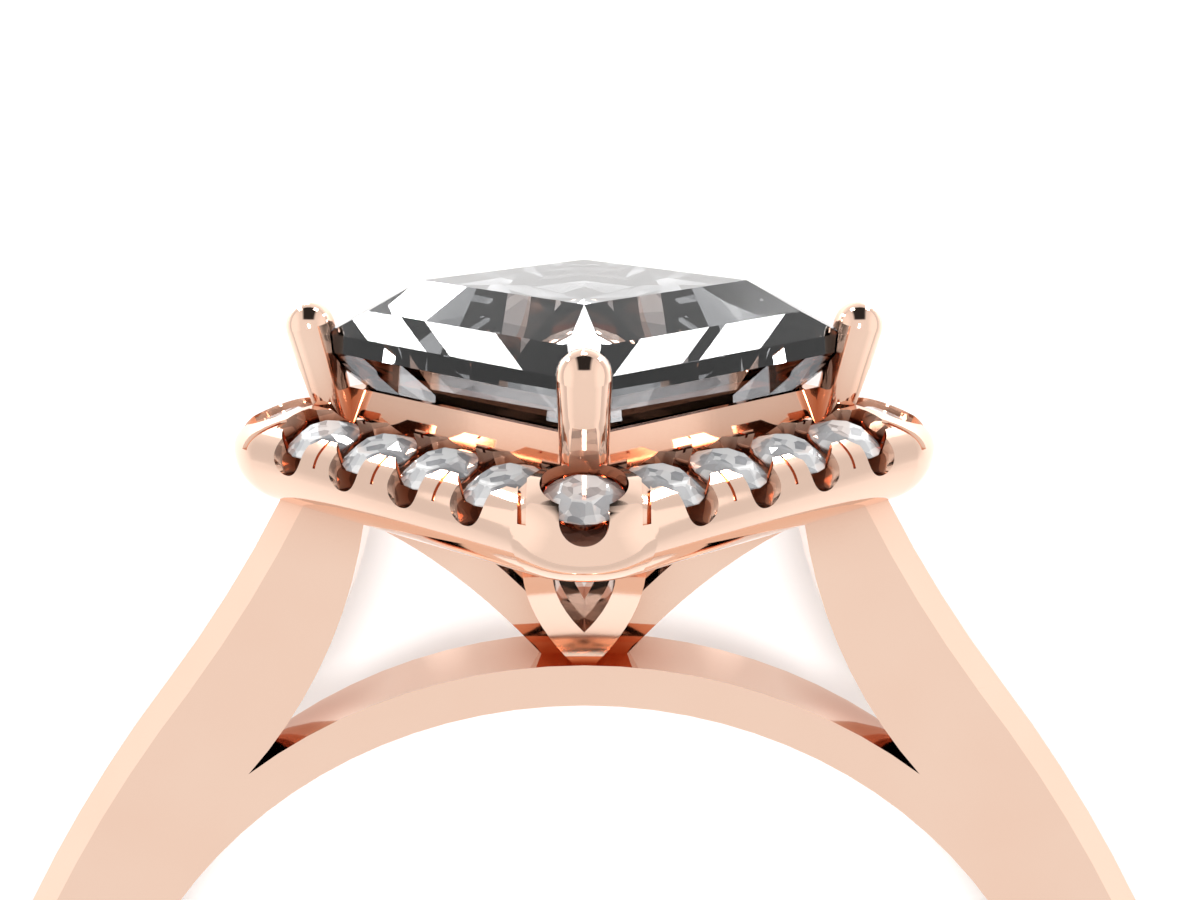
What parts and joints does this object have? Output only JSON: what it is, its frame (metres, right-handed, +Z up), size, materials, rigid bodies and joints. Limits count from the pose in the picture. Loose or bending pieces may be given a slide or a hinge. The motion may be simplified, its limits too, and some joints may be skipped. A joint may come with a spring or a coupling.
{
  "type": "halo ring",
  "caption": "Finger ring with a square stone set cornerwise in four prongs, a halo of small round stones, a trumpet basket and cathedral shoulders.",
  "frame": {"origin": "centre of the finger bore, halfway along its wall", "axes": "+Y towards the head, along the ring as it lies; +Z up from the surface it lies on; X across the hoop. The finger bore leans 12 degrees from +Z because the ring rests on its halo's corner and its shank."},
  "size_m": [0.0212, 0.0262, 0.0113],
  "materials": {
    "rose_gold": "polished rose gold",
    "centre_stone": "cut and polished stone",
    "halo_stone": "cut and polished stone"
  },
  "bodies": {
    "root": {"ring_mount": "rose_gold", "centre_stone": "centre_stone", "halo_stone_01": "halo_stone", "halo_stone_02": "halo_stone", "halo_stone_03": "halo_stone", "halo_stone_04": "halo_stone", "halo_stone_05": "halo_stone", "halo_stone_06": "halo_stone", "halo_stone_07": "halo_stone", "halo_stone_08": "halo_stone", "halo_stone_09": "halo_stone", "halo_stone_10": "halo_stone", "halo_stone_11": "halo_stone", "halo_stone_12": "halo_stone", "halo_stone_13": "halo_stone", "halo_stone_14": "halo_stone", "halo_stone_15": "halo_stone", "halo_stone_16": "halo_stone", "halo_stone_17": "halo_stone", "halo_stone_18": "halo_stone", "halo_stone_19": "halo_stone", "halo_stone_20": "halo_stone"}
  },
  "joints": []
}
